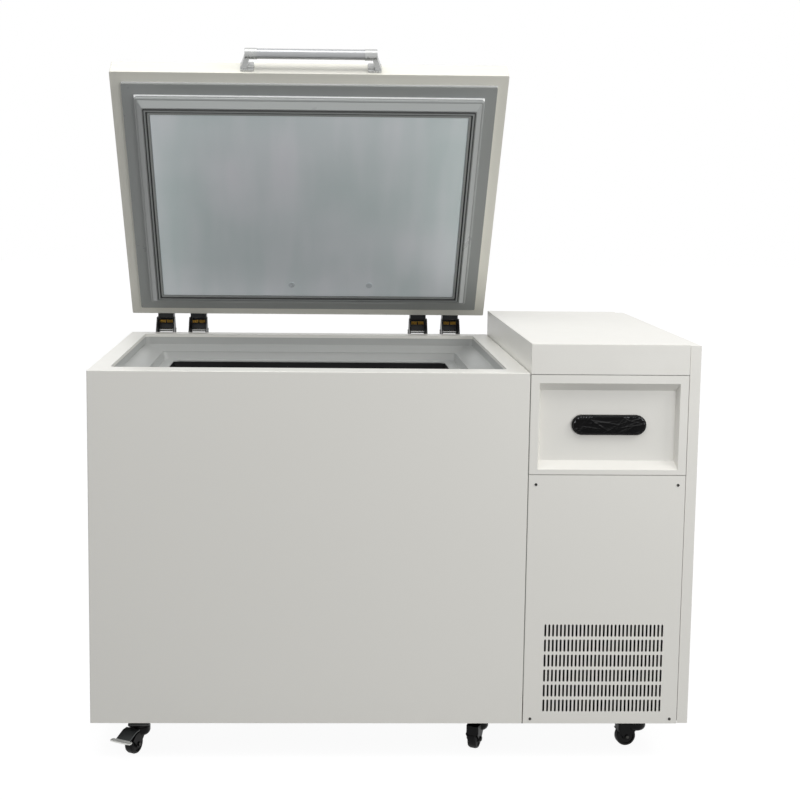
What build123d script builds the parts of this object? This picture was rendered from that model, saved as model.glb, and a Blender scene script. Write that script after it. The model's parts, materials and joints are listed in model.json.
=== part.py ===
from build123d import *
import math
import os

# A laboratory chest freezer: an insulated chest with a sprung lid on its left,
# and a machine compartment with its refrigeration plant on its right.
# X runs to the right along the front, Y to the back, Z up from the floor.
# Sizes are millimetres, first measured from the left front corner of the chest.

os.makedirs("parts", exist_ok=True)

# Overall sizes
chest_w = 1085.0
depth = 848.0
skirt_z = 96.0
rim_z = 988.0
sheet = 1.2
chest_corner = 3.0
rim_bend = 2.0

# Machine compartment
bay_gap = 2.0
cover_w = 390.0
cover_top = 1060.5
cover_seam = 2.5
side_gap = 1.5
side_w = 26.5
side_set_back = 3.0
side_drop = 3.0
upper_panel_h = 248.5
panel_seam = 1.5
panel_flange = 14.0

# Chest mouth: white rim, grey collar with a sloping ledge, throat with a second ledge
rim_side = 48.0
rim_front = 66.0
rim_back = 50.0
rim_hem = 9.0
mouth_r = 14.0
collar_t = 3.0
collar_wall = 30.0
slope_run = 56.0
slope_drop = 15.0
throat_wall = 23.0
throat_draft = 4.0
throat_ledge = 34.0

# Storage tank, its cooling coil and the floor insulation
tank_t = 1.5
tank_r = 18.0
tank_floor_z = 236.0
coil_t = 7.0
coil_h = 12.0
coil_turns = 6
coil_pitch = 92.0
coil_rise = 70.0
coil_cut = 60.0

# Base frame and casters
caster_h = 72.0
rail_h = 26.0
rail_w = 50.0
rail_t = 3.0
frame_front = 58.0
frame_side = 40.0
pan_t = 1.2
front_left_stem = (115.5, 68.0)
bay_stem_y = 102.0
middle_stem_x = 987.0
right_stem_x = 1397.0
rear_stem_inset = 70.0
wheel_r = 26.0
wheel_w = 25.0
wheel_dish = 3.0
hub_r = 10.0
trail = 27.0
axle_r = 4.0
axle_head_r = 6.0
axle_clear = 0.05
plate_size = 54.0
plate_t = 2.5
race_h = 5.5
race_r = 25.0
race_gap = 0.3
bowl_r = 27.0
bowl_round = 13.0
hood_u = 50.0
hood_round = 6.0
hood_low_z = 41.0
fork_t = 2.2
fork_gap = 1.6
guard_gap = 1.5
cheek_rear_u = 4.0
eye_r = 10.0

# Brake pedal of the front left caster, in the plane of its wheel
pivot_u = 40.0
pivot_z = 58.0
pivot_r = 2.0
knuckle_r = 4.0
knuckle_half = 8.6
lug_r = 3.4
lug_t = 3.0
lug_clear = 0.3
pedal_rise = 4.6
pedal_t = 3.0
pedal_half = 20.0
pedal_rear = 10.0
pedal_bend_u = 46.0
lip_half = 30.0
lip_u0 = 76.0
lip_u1 = 90.0
lip_z = 51.0
lip_round = 4.0

# Lid, measured closed
lid_w = 1078.0
lid_x = -1.0
lid_l = 831.4
lid_t = 58.8
lid_back_set = 2.0
lid_open = 56.6
lid_corner = 4.0
lid_edge = 3.0
lid_flange = 30.0
seal_clear = 0.3
plug_a = 11.0
plug_b_margin = 63.0
plug_b = 28.0
plug_b_round = 6.0
plug_b_corner = 8.0
plug_corner = 4.0
plug_c_margin = 84.0
plug_c = 45.0
plug_wall = 3.0
gasket_gap = 1.0
gasket_w = 10.0
gasket_h = 6.0
gasket_proud = 3.0
groove_floor = 2.0
lip_gap = 0.3
panel_margin = 105.0
panel_drop = 44.0
panel_corner = 4.0
panel_bevel = 2.0
foam_plug_xs = (487.4, 718.7)
foam_plug_set = 148.0
foam_plug_r = 9.0
foam_plug_t = 1.6

# Lid handle on the front edge of the lid
handle_mid_x = 541.0
handle_w = 360.0
handle_foot_w = 37.0
handle_foot_h = 44.0
handle_foot_t = 6.0
handle_flare = 11.0
handle_tube_r = 14.0
handle_tube_set = 6.0
handle_reach = 43.0
sleeve_t = 1.2
collar_set = 2.0
collar_len = 33.0
insert_size = 18.0
insert_t = 2.5
insert_set = 0.5

# Hinges on the back of the chest
hinge_reach = 56.0
hinge_inner = 338.5
hinge_outer = 438.0
hinge_w = 55.0
hinge_t = 3.0
hinge_clear = 0.6
hinge_pin_r = 5.0
pin_head_r = 8.0
pin_head_t = 2.6
hinge_plate_h = 104.0
ear_rise = 43.0
ear_back = 14.0
spring_lift = 28.0
spring_rod_r = 2.5
spring_r = 5.0
spring_gap = 0.6
hinge_screw_r = 4.5
hinge_screw_t = 3.2

# Front panels of the machine compartment
recess_side = 20.5
recess_top = 20.5
recess_h = 215.5
recess_draft_side = 6.0
recess_draft_top = 20.0
recess_depth = 20.0
display_shift_x = 3.3
display_shift_z = 1.8
display_w = 185.0
display_h = 50.0
display_t = 9.0
display_round = 3.0
lens_edge = 9.0
lens_t = 0.8
slot_w = 5.0
slot_h = 31.5
slot_cols = 31
slot_rows = 6
slot_pitch_x = 9.8
slot_pitch_z = 39.0
slot_low_z = 127.0
slot_shift = 3.4
screw_r = 3.6
screw_t = 1.6
screw_inset = 18.0
screw_low = 12.0
screw_high = 24.0

# Back sheet of the machine compartment
outlet_w = 120.0
outlet_h = 7.0
outlet_rows = 10
outlet_pitch = 22.0
outlet_dx = 78.0
outlet_low_z = 180.0
outlet_lift = 480.0
inlet_z = 520.0

# Refrigeration plant
tray_t = 2.0
post_w = 18.0
rail_top_h = 20.0
comp_r = 88.0
comp_h = 250.0
comp_foot_h = 14.0
cond_w = 300.0
cond_h = 252.0
cond_d = 44.0
fin_pitch = 10.0
fin_t = 1.0
fan_r = 112.0
fan_clear = 4.0
fan_depth = 36.0
motor_r = 34.0
motor_l = 56.0
shaft_r = 4.0
hub_big_r = 28.0
blades = 5
pipe_r = 5.0
drier_set = 60.0
drier_y = 180.0

# Derived places
bay_x = chest_w + bay_gap
cover_x1 = bay_x + cover_w
side_x0 = cover_x1 + side_gap
total_w = side_x0 + side_w
cover_z0 = rim_z - cover_seam
chest_in_z = caster_h + rail_h + pan_t
mouth_x0 = rim_side
mouth_x1 = chest_w - rim_side
mouth_y0 = rim_front
mouth_y1 = depth - rim_back
throat_run = slope_run + throat_draft + throat_ledge
ledge_z = rim_z - collar_wall - slope_drop
throat_z = ledge_z - throat_wall
lid_rear = depth - lid_back_set
lid_front = lid_rear - lid_l
lid_under = rim_z + plug_a + seal_clear
hinge_y = depth + hinge_reach
hinge_z = rim_z
lid_mid_x = lid_x + lid_w / 2
hinge_xs = (
    lid_mid_x - hinge_outer,
    lid_mid_x - hinge_inner,
    lid_mid_x + hinge_inner,
    lid_mid_x + hinge_outer,
)
hinge_axis = Axis((0, hinge_y, hinge_z), (-1, 0, 0))
open_turn = math.radians(lid_open)
spring_y = hinge_y - spring_lift * math.sin(open_turn)
spring_z = hinge_z + spring_lift * math.cos(open_turn)
core_drop = plug_c - gasket_h - groove_floor
groove_margin = plug_c_margin + plug_wall
lip_margin = groove_margin + 2 * gasket_gap + gasket_w
race_z = caster_h - plate_t - race_h
fork_top_z = race_z - race_gap
leg_in = wheel_w / 2 + fork_gap
guard_r = wheel_r + guard_gap + fork_t

nodes = {}


def block(x0, x1, y0, y1, z0, z1):
    """Box between two corners."""
    size = Box(x1 - x0, y1 - y0, z1 - z0)
    return Pos((x0 + x1) / 2, (y0 + y1) / 2, (z0 + z1) / 2) * size


def mouth_face(run, z, radius):
    """Rounded rectangle of the chest mouth, a given run inside the rim edge, at one height."""
    width = mouth_x1 - mouth_x0 - 2 * run
    length = mouth_y1 - mouth_y0 - 2 * run
    place = Pos((mouth_x0 + mouth_x1) / 2, (mouth_y0 + mouth_y1) / 2, z)
    return place * RectangleRounded(width, length, radius)


def mouth_prism(run, z0, z1, radius):
    """Straight block of the mouth's outline between two heights."""
    return extrude(mouth_face(run, z0, radius), amount=z1 - z0, dir=(0, 0, 1))


def mouth_funnel(run0, z0, run1, z1, radius):
    """Tapering block of the mouth between two heights."""
    return loft([mouth_face(run0, z0, radius), mouth_face(run1, z1, radius)])


def lid_face(margin, drop, radius):
    """Rounded rectangle a margin inside the lid's outline, a drop below its underside."""
    width = lid_w - 2 * margin
    length = lid_l - 2 * margin
    place = Pos(lid_mid_x, (lid_front + lid_rear) / 2, lid_under - drop)
    return place * RectangleRounded(width, length, radius)


def lid_prism(margin, drop0, drop1, radius):
    """Straight block of the lid's outline between two drops below the underside."""
    return extrude(lid_face(margin, drop1, radius), amount=drop1 - drop0, dir=(0, 0, 1))


def swung(shape):
    """A closed lid piece turned to its open place about the hinge pins."""
    return shape.rotate(hinge_axis, lid_open)


def rod(p0, p1, radius):
    """Round bar between two points."""
    start = Vector(*p0)
    end = Vector(*p1)
    along = end - start
    plane = Plane(origin=start, z_dir=along)
    return plane * extrude(Circle(radius), amount=along.length)


# Chest casing: front and both sides in one bent sheet, with the flat rim on top
def chest_wrap():
    outer = block(0, chest_w, 0, depth - sheet, skirt_z, rim_z)
    upright = outer.edges().filter_by(Axis.Z).group_by(Axis.Y)[0]
    outer = fillet(upright, chest_corner)
    around = outer.edges().group_by(Axis.Z)[-1].sort_by(Axis.Y)[:-1]
    outer = fillet(around, rim_bend)
    hollow = block(sheet, chest_w - sheet, sheet, depth, skirt_z - 1, rim_z - sheet)
    shell = outer - hollow
    shell -= mouth_prism(0, rim_z - 2 * sheet, rim_z + 1, mouth_r)
    shell -= block(chest_w - 2 * sheet, chest_w + 1, sheet, depth, skirt_z - 1, chest_in_z)
    hem = mouth_prism(-sheet, rim_z - rim_hem, rim_z - sheet / 2, mouth_r + sheet)
    hem -= mouth_prism(0, rim_z - rim_hem - 1, rim_z, mouth_r)
    return shell + hem


def collar_outer():
    """Space taken by the collar and the throat, filled solid."""
    low = rim_z - collar_wall - collar_t
    ledge = ledge_z - collar_t
    space = mouth_prism(-collar_t, low, rim_z - sheet, mouth_r + collar_t)
    space += mouth_funnel(slope_run, ledge, -collar_t, low, mouth_r)
    space += mouth_prism(slope_run, throat_z - collar_t, ledge, mouth_r)
    return space


def rim_collar():
    upper = rim_z - collar_wall
    ledge = ledge_z - collar_t
    wall = mouth_prism(-collar_t, upper - collar_t, rim_z - rim_hem, mouth_r + collar_t)
    wall -= mouth_prism(0, upper, rim_z, mouth_r)
    slope = mouth_funnel(slope_run, ledge, -collar_t, upper - collar_t, mouth_r)
    body = wall + slope
    body -= mouth_funnel(slope_run + collar_t, ledge_z, 0, upper, mouth_r)
    body -= mouth_prism(slope_run + collar_t, ledge - 1, ledge_z + 1, mouth_r)
    return body


def throat_collar():
    ledge = ledge_z - collar_t
    body = mouth_prism(slope_run, throat_z - collar_t, ledge, mouth_r)
    inner = slope_run + collar_t
    body -= mouth_funnel(inner + throat_draft, throat_z, inner, ledge, mouth_r)
    body -= mouth_prism(throat_run, throat_z - collar_t - 1, throat_z + 1, tank_r)
    return body


tank_z1 = throat_z - collar_t
tank_out = throat_run - tank_t
coil_out = tank_out - coil_t


def tank():
    shell = mouth_prism(tank_out, tank_floor_z - tank_t, tank_z1, tank_r + tank_t)
    return shell - mouth_prism(throat_run, tank_floor_z, tank_z1 + 1, tank_r)


def cooling_coil():
    """Flattened tube wound round the tank, each turn joined to the next by a riser."""
    ring = mouth_prism(coil_out, 0, coil_h, tank_r + tank_t + coil_t)
    ring -= mouth_prism(tank_out, -1, coil_h + 1, tank_r + tank_t)
    mid = (mouth_x0 + mouth_x1) / 2
    back = mouth_y1 - coil_out
    ring -= block(mid - coil_cut / 2, mid + coil_cut / 2, back - 2 * coil_t, back + 1, -1, coil_h + 1)
    run = Plane.XZ.offset(-(back - coil_t))
    left = mid - coil_cut / 2
    right = mid + coil_cut / 2
    step = run * Polygon(
        (left, 0), (left, coil_h), (right, coil_pitch + coil_h), (right, coil_pitch), align=None
    )
    riser = extrude(step, amount=coil_t, dir=(0, 1, 0))
    pieces = []
    for turn in range(coil_turns):
        z = tank_floor_z + coil_rise + turn * coil_pitch
        body = Pos(0, 0, z) * ring
        if turn < coil_turns - 1:
            body += Pos(0, 0, z) * riser
        pieces.append(body)
    coil = pieces[0]
    for piece in pieces[1:]:
        coil += piece
    return coil


def insulation():
    body = block(sheet, chest_w - sheet, sheet, depth - sheet, chest_in_z, rim_z - sheet)
    body -= mouth_prism(coil_out, tank_floor_z - tank_t, tank_z1, tank_r + tank_t + coil_t)
    body -= collar_outer()
    hem = mouth_prism(-collar_t, rim_z - collar_wall, rim_z, mouth_r + collar_t)
    return body - hem


def back_panel():
    return block(0, chest_w, depth - sheet, depth, skirt_z, rim_z)


def bottom_pan():
    z0 = caster_h + rail_h
    return block(sheet, chest_w - sheet, sheet, depth - sheet, z0, z0 + pan_t)


def base_frame():
    """Welded rails under the chest and the machine compartment."""
    x0 = frame_side
    x1 = total_w - frame_side
    z1 = caster_h + rail_h
    back = depth - frame_side
    mid = middle_stem_x
    front = bay_stem_y + rail_w / 2
    body = block(x0, x1, frame_front, front, caster_h, z1)
    body += block(x0, x1, back - rail_w, back, caster_h, z1)
    for x in (x0, mid - rail_w / 2, x1 - rail_w):
        body += block(x, x + rail_w, frame_front, back, caster_h, z1)
    body -= block(
        x0 + rail_t, x1 - rail_t, frame_front + rail_t, front - rail_t, caster_h + rail_t, z1 + 1
    )
    body += block(x0, x0 + rail_w, frame_front, front, caster_h, z1)
    plate = block(0, plate_size, 0, plate_size, caster_h, caster_h + rail_t)
    corner = Pos(front_left_stem[0] - plate_size / 2, front_left_stem[1] - plate_size / 2, 0)
    return body + corner * plate


# Lid
def lid_shell():
    body = lid_prism(0, -lid_t, 0, lid_corner)
    top = body.edges().group_by(Axis.Z)[-1]
    body = fillet(top, lid_edge)
    core = lid_prism(sheet, -lid_t + sheet, -sheet, lid_corner - sheet)
    body -= core
    return body - lid_prism(lid_flange, -lid_t / 2, 1, lid_corner)


def plug_solid():
    """Stepped plug under the lid, filled solid."""
    body = lid_prism(lid_flange, -sheet, plug_a, lid_corner)
    step = lid_prism(plug_b_margin, 0, plug_b, plug_b_corner)
    low = step.edges().group_by(Axis.Z)[0]
    body += fillet(low, plug_b_round)
    start = lid_face(plug_b_margin + plug_b_round, plug_b - 1, plug_corner)
    return body + loft([lid_face(plug_c_margin, plug_c, plug_corner), start])


def lid_plug_frame():
    """Stepped frame of the plug with the gasket's groove and a lip round the inner panel."""
    body = plug_solid() - lid_prism(groove_margin, -sheet - 1, core_drop, plug_corner)
    groove = lid_prism(groove_margin, plug_c - gasket_h, plug_c + 1, plug_corner)
    groove -= lid_prism(lip_margin, plug_c - gasket_h - 1, plug_c + 2, plug_corner)
    body -= groove
    return body - lid_prism(panel_margin - lip_gap, core_drop - 1, plug_c + 1, panel_corner)


def lid_insulation():
    body = lid_prism(sheet, -lid_t + sheet, -sheet, lid_corner - sheet)
    return body + lid_prism(groove_margin, -sheet, core_drop, plug_corner)


def lid_gasket():
    outer = groove_margin + gasket_gap
    low = plug_c - gasket_h
    body = lid_prism(outer, low, plug_c + gasket_proud, plug_corner)
    body -= lid_prism(outer + gasket_w, low - 1, plug_c + gasket_proud + 1, plug_corner)
    return fillet(body.edges().group_by(Axis.Z)[0], gasket_w / 3)


def lid_inner_panel():
    body = lid_prism(panel_margin, core_drop, panel_drop, panel_corner)
    return chamfer(body.edges().group_by(Axis.Z)[0], panel_bevel)


def foam_plugs():
    """Two caps over the foam filling holes of the inner panel."""
    bodies = []
    low = (Align.CENTER, Align.CENTER, Align.MAX)
    for x in foam_plug_xs:
        cap = Cylinder(foam_plug_r, foam_plug_t, align=low)
        bodies.append(Pos(x, lid_rear - foam_plug_set, lid_under - panel_drop) * cap)
    return bodies


# Lid handle
handle_y = lid_front - handle_reach
handle_z = lid_under + lid_t / 2


def tube_run(radius):
    """Round bar on the handle's line, as long as its tube."""
    half = handle_w / 2 - handle_tube_set
    return rod((handle_mid_x - half, handle_y, handle_z), (handle_mid_x + half, handle_y, handle_z), radius)


def handle_bracket(side):
    """Cast end bracket: a foot on the lid edge, a flaring web and a sleeve round the tube."""
    outer_x = handle_mid_x + side * handle_w / 2
    foot_x = outer_x - side * (handle_foot_w / 2 - handle_flare)
    foot = Pos(foot_x, lid_front - handle_foot_t / 2, handle_z) * Box(handle_foot_w, handle_foot_t, handle_foot_h)
    foot = fillet(foot.edges().filter_by(Axis.Y), 6.0)
    end = outer_x - side * collar_set
    sleeve = rod(
        (end, handle_y, handle_z), (end - side * collar_len, handle_y, handle_z), handle_tube_r + sleeve_t
    )
    web_foot = Plane.XZ.offset(-(lid_front - handle_foot_t + 1)) * Rectangle(16, 34)
    web_foot = Pos(outer_x + side * (handle_flare - 9), 0, handle_z) * web_foot
    web_top = Plane.XZ.offset(-handle_y) * Rectangle(14, 22)
    web_top = Pos(outer_x - side * 10, 0, handle_z) * web_top
    body = foot + sleeve + loft([web_foot, web_top])
    return body - tube_run(handle_tube_r)


def handle_inserts():
    """Square cover caps over the bracket screws."""
    bodies = []
    for side in (-1, 1):
        x = handle_mid_x + side * (handle_w / 2 - handle_foot_w + handle_flare + insert_size / 2 + insert_set)
        y = lid_front - handle_foot_t - insert_t / 2
        cap = Pos(x, y, handle_z) * Box(insert_size, insert_t, insert_size)
        bodies.append(fillet(cap.edges().filter_by(Axis.Y), 3.0))
    return bodies


# Hinges
leaf_half = hinge_w / 2 - hinge_t - hinge_clear


def side_profile(points, radius):
    """Face in the plane across the hinge from points of depth and height, joined by a disc round the pin."""
    outline = fillet(Polygon(*points, align=None).vertices(), 2.0)
    return Plane.YZ * (outline + Pos(hinge_y, hinge_z) * Circle(radius))


def hinge_base(x):
    """Fixed half: back plate and two tall ears that hold the pin."""
    half = hinge_w / 2
    low = hinge_z - hinge_plate_h
    body = block(x - half, x + half, depth, depth + hinge_t, low, hinge_z - 6)
    profile = side_profile(
        [
            (depth, low), (depth + 26, low), (hinge_y + ear_back, hinge_z - 34),
            (hinge_y + ear_back, hinge_z + 12), (hinge_y - 8, hinge_z + ear_rise),
            (hinge_y - 26, hinge_z + ear_rise), (depth + 3, hinge_z + 4), (depth, hinge_z - 14),
        ],
        12,
    )
    ear = extrude(profile, amount=hinge_t, dir=(1, 0, 0))
    body += Pos(x - half, 0, 0) * ear
    body += Pos(x + half - hinge_t, 0, 0) * ear
    body += block(x - half, x + half, depth, hinge_y - 16, hinge_z - 20, hinge_z - 20 + hinge_t)
    return body - rod((x - hinge_w, hinge_y, hinge_z), (x + hinge_w, hinge_y, hinge_z), hinge_pin_r)


def hinge_leaf(x):
    """Moving half, closed: plate on the lid's back, two cheeks between the ears, a cover and a front lip."""
    z0 = lid_under + 3
    z1 = lid_under + lid_t - 8
    back = lid_rear + 16
    body = block(x - leaf_half, x + leaf_half, lid_rear, lid_rear + hinge_t, z0, z1)
    profile = side_profile(
        [
            (lid_rear, z0), (lid_rear, z1), (back, z1), (hinge_y + 11, hinge_z + 9),
            (hinge_y, hinge_z - 10), (lid_rear + 14, z0 - 8),
        ],
        13,
    )
    cheek = extrude(profile, amount=hinge_t, dir=(1, 0, 0))
    body += Pos(x - leaf_half, 0, 0) * cheek
    body += Pos(x + leaf_half - hinge_t, 0, 0) * cheek
    down = Vector(hinge_y + 11 - back, hinge_z + 9 - z1).normalized()
    inward = Vector(down.Y, -down.X) * hinge_t
    first = Vector(back, z1) + down * 3
    last = Vector(hinge_y + 11, hinge_z + 9) - down * 6
    corners = [first, last, last + inward, first + inward]
    cover = Plane.YZ * Polygon(*[(c.X, c.Y) for c in corners], align=None)
    lip = Plane.YZ * Polygon(
        (lid_rear, z0), (lid_rear + hinge_t, z0 + 3), (lid_rear + 16, z0 - 5.5), (lid_rear + 14, z0 - 8), align=None
    )
    for face in (cover, lip):
        body += Pos(x - leaf_half, 0, 0) * extrude(face, amount=2 * leaf_half, dir=(1, 0, 0))
    body += rod((x - leaf_half, spring_y, spring_z), (x + leaf_half, spring_y, spring_z), spring_rod_r)
    hole = hinge_pin_r + axle_clear
    return body - rod((x - hinge_w, hinge_y, hinge_z), (x + hinge_w, hinge_y, hinge_z), hole)


def hinge_pin(x):
    """Pin with a flat head outside each ear."""
    half = hinge_w / 2 + pin_head_t
    body = rod((x - half, hinge_y, hinge_z), (x + half, hinge_y, hinge_z), hinge_pin_r)
    for side in (-1, 1):
        end = x + side * hinge_w / 2
        body += rod((end, hinge_y, hinge_z), (end + side * pin_head_t, hinge_y, hinge_z), pin_head_r)
    return body


def hinge_springs(x):
    """Pair of coil springs side by side on the leaf's cross rod."""
    bodies = []
    length = leaf_half - hinge_t - 2 * spring_gap
    for side in (-1, 1):
        x0 = x + side * spring_gap
        x1 = x0 + side * length
        tube = rod((x0, spring_y, spring_z), (x1, spring_y, spring_z), spring_r)
        tube -= rod((x0 - side, spring_y, spring_z), (x1 + side, spring_y, spring_z), spring_rod_r)
        bodies.append(swung(tube))
    return bodies


def hinge_base_screws():
    bodies = []
    y = depth + hinge_t
    for x in hinge_xs:
        for dx in (-12, 12):
            for z in (hinge_z - 88, hinge_z - 40):
                bodies.append(rod((x + dx, y, z), (x + dx, y + hinge_screw_t, z), hinge_screw_r))
    return bodies


def hinge_leaf_screws():
    bodies = []
    y = lid_rear + hinge_t
    z = lid_under + lid_t / 2 - 2
    for x in hinge_xs:
        for dx in (-11, 11):
            bodies.append(swung(rod((x + dx, y, z), (x + dx, y + hinge_screw_t, z), hinge_screw_r)))
    return bodies


# Machine compartment panels
upper_z1 = cover_z0 - panel_seam
upper_z0 = upper_z1 - upper_panel_h
vent_z1 = upper_z0 - panel_seam
vent_z0 = skirt_z
panel_x1 = cover_x1 - 0.5
panel_mid_x = (bay_x + panel_x1) / 2


def folded_panel(z0, z1):
    """Front sheet with a short flange turned back on every side."""
    body = block(bay_x, panel_x1, 0, panel_flange, z0, z1)
    return body - block(
        bay_x + sheet, panel_x1 - sheet, sheet, panel_flange + 1, z0 + sheet, z1 - sheet
    )


recess_w = panel_x1 - bay_x - 2 * recess_side
recess_z1 = upper_z1 - recess_top
recess_z = recess_z1 - recess_h / 2
display_x = panel_mid_x + display_shift_x
display_z = recess_z + display_shift_z


def recess_solid(extra):
    """Tapering block of the pressed recess, grown by an extra wall."""
    mouth = Plane.XZ * Rectangle(recess_w + 2 * extra, recess_h + 2 * extra)
    floor = Plane.XZ * Rectangle(
        recess_w - 2 * recess_draft_side + 2 * extra, recess_h - 2 * recess_draft_top + 2 * extra
    )
    near = Pos(panel_mid_x, 0, recess_z) * mouth
    far = Pos(panel_mid_x, recess_depth + extra, recess_z) * floor
    return loft([near, far])


def upper_panel():
    body = folded_panel(upper_z0, upper_z1)
    body += recess_solid(sheet)
    return body - recess_solid(0)


def display_housing():
    outline = Plane.XZ * SlotOverall(display_w, display_h)
    body = Pos(display_x, recess_depth, display_z) * extrude(outline, amount=display_t)
    front = body.edges().group_by(Axis.Y)[0]
    return fillet(front, display_round)


def display_lens():
    outline = Plane.XZ * SlotOverall(display_w - 2 * lens_edge, display_h - 2 * lens_edge)
    return Pos(display_x, recess_depth - display_t, display_z) * extrude(outline, amount=lens_t)


slot_x0 = panel_mid_x + slot_shift - (slot_cols - 1) * slot_pitch_x / 2
slot_z0 = slot_low_z + slot_h / 2


def vent_panel():
    """Lower front sheet with its field of punched slots and four screw holes."""
    body = folded_panel(vent_z0, vent_z1)
    outline = Plane.XZ * SlotOverall(slot_h, slot_w, rotation=90)
    cuts = []
    for col in range(slot_cols):
        for row in range(slot_rows):
            x = slot_x0 + col * slot_pitch_x
            z = slot_z0 + row * slot_pitch_z
            cuts.append(Pos(x, -1, z) * extrude(outline, amount=-(sheet + 2)))
    return body - cuts


def screw_places():
    places = []
    for x in (bay_x + screw_inset, panel_x1 - screw_inset):
        for z in (vent_z0 + screw_low, vent_z1 - screw_high):
            places.append((x, z))
    return places


def panel_screws():
    bodies = []
    for x, z in screw_places():
        bodies.append(rod((x, 0, z), (x, -screw_t, z), screw_r))
    return bodies


def side_panel():
    z1 = cover_top - side_drop
    body = block(side_x0, total_w, side_set_back, depth, skirt_z, z1)
    return body - block(
        side_x0 - 1, total_w - sheet, side_set_back + sheet, depth - sheet, skirt_z - 1, z1 - sheet
    )


def top_cover():
    body = block(bay_x, cover_x1, 0, depth, cover_z0, cover_top)
    body = fillet(body.edges().group_by(Axis.Z)[-1], 2.0)
    return body - block(
        bay_x + sheet, cover_x1 - sheet, sheet, depth - sheet, cover_z0 - 1, cover_top - sheet
    )


bay_floor = caster_h + rail_h + tray_t


def bay_tray():
    z0 = caster_h + rail_h
    return block(bay_x, total_w - sheet, panel_flange, depth - sheet, z0, z0 + tray_t)


def bay_frame():
    """Corner posts and top rails that carry the panels and the cover."""
    z1 = cover_z0
    posts = []
    sides = ((bay_x, bay_x + post_w), (panel_x1 - post_w, panel_x1))
    ends = ((panel_flange, panel_flange + post_w), (depth - sheet - post_w, depth - sheet))
    for x0, x1 in sides:
        for y0, y1 in ends:
            posts.append(block(x0, x1, y0, y1, bay_floor, z1))
    body = posts[0]
    for post in posts[1:]:
        body += post
    for x0, x1 in sides:
        body += block(x0, x1, panel_flange, depth - sheet, z1 - rail_top_h, z1)
    for y0, y1 in ends:
        body += block(bay_x, panel_x1, y0, y1, z1 - rail_top_h, z1)
    return body


def rear_panel():
    """Back sheet of the machine compartment with rows of outlet slots."""
    body = block(bay_x, panel_x1, depth - sheet, depth, skirt_z, cover_z0 - 0.5)
    outline = Plane.XZ * SlotOverall(outlet_w, outlet_h)
    cut = extrude(outline, amount=-(sheet + 2))
    cuts = []
    for x in (panel_mid_x - outlet_dx, panel_mid_x + outlet_dx):
        for row in range(outlet_rows):
            z = outlet_low_z + row * outlet_pitch
            cuts.append(Pos(x, depth - sheet - 1, z) * cut)
            cuts.append(Pos(x, depth - sheet - 1, z + outlet_lift) * cut)
    return body - cuts


# Refrigeration plant
comp_x = panel_mid_x
comp_ys = (330.0, 600.0)
comp_z0 = bay_floor + comp_foot_h


def compressor(y):
    """Welded steel pot on a foot plate, with its terminal box."""
    profile = Plane.XZ * Polyline(
        (0, 0), (comp_r - 26, 0), (comp_r - 6, 16), (comp_r, 40), (comp_r, comp_h * 0.55),
        (comp_r + 5, comp_h * 0.55), (comp_r + 5, comp_h * 0.6), (comp_r - 2, comp_h * 0.6),
        (comp_r - 8, comp_h * 0.85), (comp_r - 30, comp_h * 0.97), (0, comp_h), (0, 0),
    )
    pot = revolve(make_face(profile), Axis.Z)
    foot = Box(2 * comp_r + 30, 2 * comp_r - 10, 4, align=(Align.CENTER, Align.CENTER, Align.MAX))
    foot = fillet(foot.edges().filter_by(Axis.Z), 16.0)
    box = Pos(comp_r - 2, 0, comp_h * 0.42) * Box(36, 70, 62)
    return Pos(comp_x, y, comp_z0 + 4) * (pot + foot + box)


def compressor_feet():
    bodies = []
    for y in comp_ys:
        for dx in (-1, 1):
            for dy in (-1, 1):
                place = Pos(comp_x + dx * comp_r, y + dy * (comp_r - 22), bay_floor)
                bodies.append(place * Cylinder(11, comp_foot_h, align=(Align.CENTER, Align.CENTER, Align.MIN)))
    return bodies


cond_y0 = panel_flange + 4.0
cond_x0 = panel_mid_x - cond_w / 2
cond_z0 = bay_floor


def condenser():
    """Finned block: a comb of fins on both faces of the tube web, between two end plates."""
    points = []
    count = int(cond_w / fin_pitch)
    y0 = cond_y0
    y1 = cond_y0 + cond_d
    web0 = (y0 + y1) / 2 - 7
    web1 = (y0 + y1) / 2 + 7
    for i in range(count):
        x = cond_x0 + i * fin_pitch
        points += [(x, web0), (x, y0), (x + fin_t, y0), (x + fin_t, web0)]
    last = cond_x0 + (count - 1) * fin_pitch + fin_t
    points.append((last, web1))
    back = []
    for i in reversed(range(count)):
        x = cond_x0 + i * fin_pitch
        back += [(x + fin_t, web1), (x + fin_t, y1), (x, y1), (x, web1)]
    comb = Polygon(*(points[:-1] + back), align=None)
    body = Pos(0, 0, cond_z0 + 6) * extrude(comb, amount=cond_h - 6)
    for x in (cond_x0 - 6, last):
        body += block(x, x + 6, y0, y1, cond_z0, cond_z0 + cond_h)
    return body


shroud_y0 = cond_y0 + cond_d
fan_z = cond_z0 + cond_h / 2
fan_y0 = shroud_y0 + 14.0


def fan_shroud():
    """Plate behind the condenser with a round throat for the fan."""
    body = block(cond_x0, cond_x0 + cond_w, shroud_y0, shroud_y0 + 3, cond_z0, cond_z0 + cond_h)
    ring = rod(
        (panel_mid_x, shroud_y0, fan_z), (panel_mid_x, fan_y0 + fan_depth, fan_z), fan_r + fan_clear + 2
    )
    body += ring
    body -= rod(
        (panel_mid_x, shroud_y0 - 1, fan_z), (panel_mid_x, fan_y0 + fan_depth + 1, fan_z), fan_r + fan_clear
    )
    motor_y = fan_y0 + fan_depth
    arm = block(
        panel_mid_x - fan_r - fan_clear - 1, panel_mid_x + fan_r + fan_clear + 1, motor_y - 3, motor_y,
        fan_z - 7, fan_z + 7,
    )
    return body + arm - rod((panel_mid_x, motor_y - 5, fan_z), (panel_mid_x, motor_y + 1, fan_z), 8)


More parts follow.
